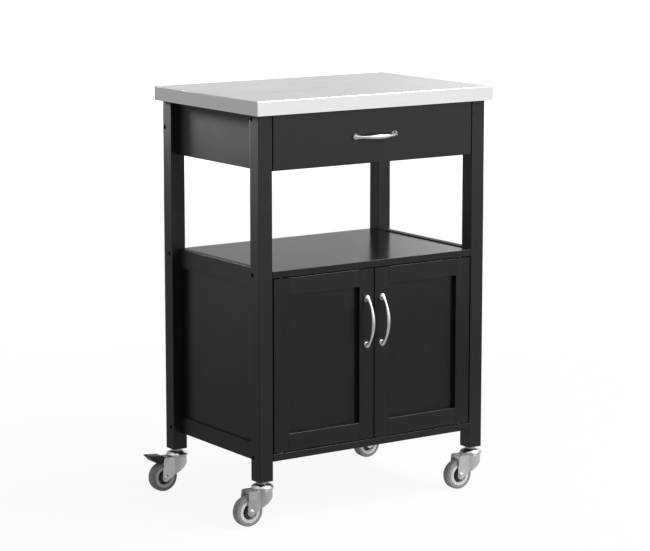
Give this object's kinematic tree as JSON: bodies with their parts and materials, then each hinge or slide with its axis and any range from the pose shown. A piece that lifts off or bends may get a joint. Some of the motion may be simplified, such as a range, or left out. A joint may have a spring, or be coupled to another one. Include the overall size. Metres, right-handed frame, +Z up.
{
  "type": "kitchen cart",
  "caption": "Kitchen cart on swivel casters with a steel-clad worktop, a drawer, an open bay and a cabinet with frame-and-panel doors.",
  "frame": {"origin": "on the floor under the centre of the worktop", "axes": "+X to the cart's right seen from its front, +Y to the rear, +Z up"},
  "size_m": [0.661, 0.429, 0.9],
  "materials": {
    "black_wood": "satin black lacquer",
    "core_board": "raw fibreboard",
    "drawer_board": "satin black foil",
    "worktop_steel": "brushed",
    "nickel": "satin nickel",
    "bolt_steel": "blackened",
    "slide_steel": "zinc plated",
    "zinc": "bright zinc plate",
    "tyre_rubber": "matt grey rubber",
    "hub_plastic": "grey moulded",
    "pedal_plastic": "black moulded",
    "catch_plastic": "black moulded"
  },
  "bodies": {
    "cart_frame": {"leg_front_left": "black_wood", "leg_front_right": "black_wood", "leg_rear_left": "black_wood", "leg_rear_right": "black_wood", "apron_left": "black_wood", "apron_right": "black_wood", "apron_rear": "black_wood", "front_strip": "black_wood", "mid_rail_left": "black_wood", "mid_rail_right": "black_wood", "low_rail_left": "black_wood", "low_rail_right": "black_wood", "side_panel_left": "black_wood", "side_panel_right": "black_wood", "back_panel": "black_wood", "shelf": "black_wood", "bottom_board": "black_wood", "worktop_core": "core_board", "worktop_skin": "worktop_steel", "frame_bolts": "bolt_steel", "slide_cabinet_members": "slide_steel", "door_pivot_pins": "bolt_steel", "door_catch": "catch_plastic", "caster_stems": "zinc"},
    "drawer": {"drawer_front": "black_wood", "drawer_side_left": "drawer_board", "drawer_side_right": "drawer_board", "drawer_back": "drawer_board", "drawer_bottom": "drawer_board", "drawer_handle": "nickel", "slide_drawer_members": "slide_steel"},
    "slide_middles": {"slide_middle_members": "slide_steel"},
    "door_left": {"door_left_hinge_stile": "black_wood", "door_left_handle_stile": "black_wood", "door_left_bottom_rail": "black_wood", "door_left_top_rail": "black_wood", "door_left_panel": "black_wood", "door_left_handle": "nickel", "door_left_fittings": "bolt_steel"},
    "door_right": {"door_right_hinge_stile": "black_wood", "door_right_handle_stile": "black_wood", "door_right_bottom_rail": "black_wood", "door_right_top_rail": "black_wood", "door_right_panel": "black_wood", "door_right_handle": "nickel", "door_right_fittings": "bolt_steel"},
    "caster_front_left": {"fork_front_left": "zinc"},
    "wheel_front_left": {"hub_front_left": "hub_plastic", "tyre_front_left": "tyre_rubber"},
    "caster_front_right": {"fork_front_right": "zinc"},
    "wheel_front_right": {"hub_front_right": "hub_plastic", "tyre_front_right": "tyre_rubber"},
    "caster_rear_left": {"fork_rear_left": "zinc"},
    "wheel_rear_left": {"hub_rear_left": "hub_plastic", "tyre_rear_left": "tyre_rubber"},
    "caster_rear_right": {"fork_rear_right": "zinc"},
    "wheel_rear_right": {"hub_rear_right": "hub_plastic", "tyre_rear_right": "tyre_rubber"},
    "pedal_rear_left": {"brake_pedal_left": "pedal_plastic"},
    "pedal_rear_right": {"brake_pedal_right": "pedal_plastic"}
  },
  "joints": [
    {"name": "drawer_slide", "type": "slide", "parent": "cart_frame", "child": "drawer", "axis": [0, -1, 0], "range_m": [0, 0.25]},
    {"name": "slide_middle_travel", "type": "slide", "parent": "cart_frame", "child": "slide_middles", "axis": [0, -1, 0], "range_m": [0, 0.125]},
    {"name": "door_left_swing", "type": "hinge", "parent": "cart_frame", "child": "door_left", "pos_m": [-0.2352, -0.184, 0.34], "axis": [0, 0, -1], "range_deg": [0, 110]},
    {"name": "door_right_swing", "type": "hinge", "parent": "cart_frame", "child": "door_right", "pos_m": [0.2352, -0.184, 0.34], "axis": [0, 0, 1], "range_deg": [0, 110]},
    {"name": "swivel_front_left", "type": "hinge", "parent": "cart_frame", "child": "caster_front_left", "pos_m": [-0.277, -0.176, 0.077], "axis": [0, 0, 1], "continuous": true},
    {"name": "roll_front_left", "type": "hinge", "parent": "caster_front_left", "child": "wheel_front_left", "pos_m": [-0.314, -0.176, 0.0325], "axis": [0, 1, 0], "continuous": true},
    {"name": "swivel_front_right", "type": "hinge", "parent": "cart_frame", "child": "caster_front_right", "pos_m": [0.277, -0.176, 0.077], "axis": [0, 0, 1], "continuous": true},
    {"name": "roll_front_right", "type": "hinge", "parent": "caster_front_right", "child": "wheel_front_right", "pos_m": [0.24, -0.176, 0.0325], "axis": [0, 1, 0], "continuous": true},
    {"name": "swivel_rear_left", "type": "hinge", "parent": "cart_frame", "child": "caster_rear_left", "pos_m": [-0.277, 0.176, 0.077], "axis": [0, 0, 1], "continuous": true},
    {"name": "roll_rear_left", "type": "hinge", "parent": "caster_rear_left", "child": "wheel_rear_left", "pos_m": [-0.314, 0.176, 0.0325], "axis": [0, 1, 0], "continuous": true},
    {"name": "swivel_rear_right", "type": "hinge", "parent": "cart_frame", "child": "caster_rear_right", "pos_m": [0.277, 0.176, 0.077], "axis": [0, 0, 1], "continuous": true},
    {"name": "roll_rear_right", "type": "hinge", "parent": "caster_rear_right", "child": "wheel_rear_right", "pos_m": [0.24, 0.176, 0.0325], "axis": [0, 1, 0], "continuous": true},
    {"name": "brake_left", "type": "hinge", "parent": "caster_rear_left", "child": "pedal_rear_left", "pos_m": [-0.311, 0.176, 0.0715], "axis": [0, -1, 0], "range_deg": [0, 14]},
    {"name": "brake_right", "type": "hinge", "parent": "caster_rear_right", "child": "pedal_rear_right", "pos_m": [0.243, 0.176, 0.0715], "axis": [0, -1, 0], "range_deg": [0, 14]}
  ],
  "couplings": [
    {"joint": "slide_middle_travel", "follows": "drawer_slide", "ratio": 0.5}
  ]
}
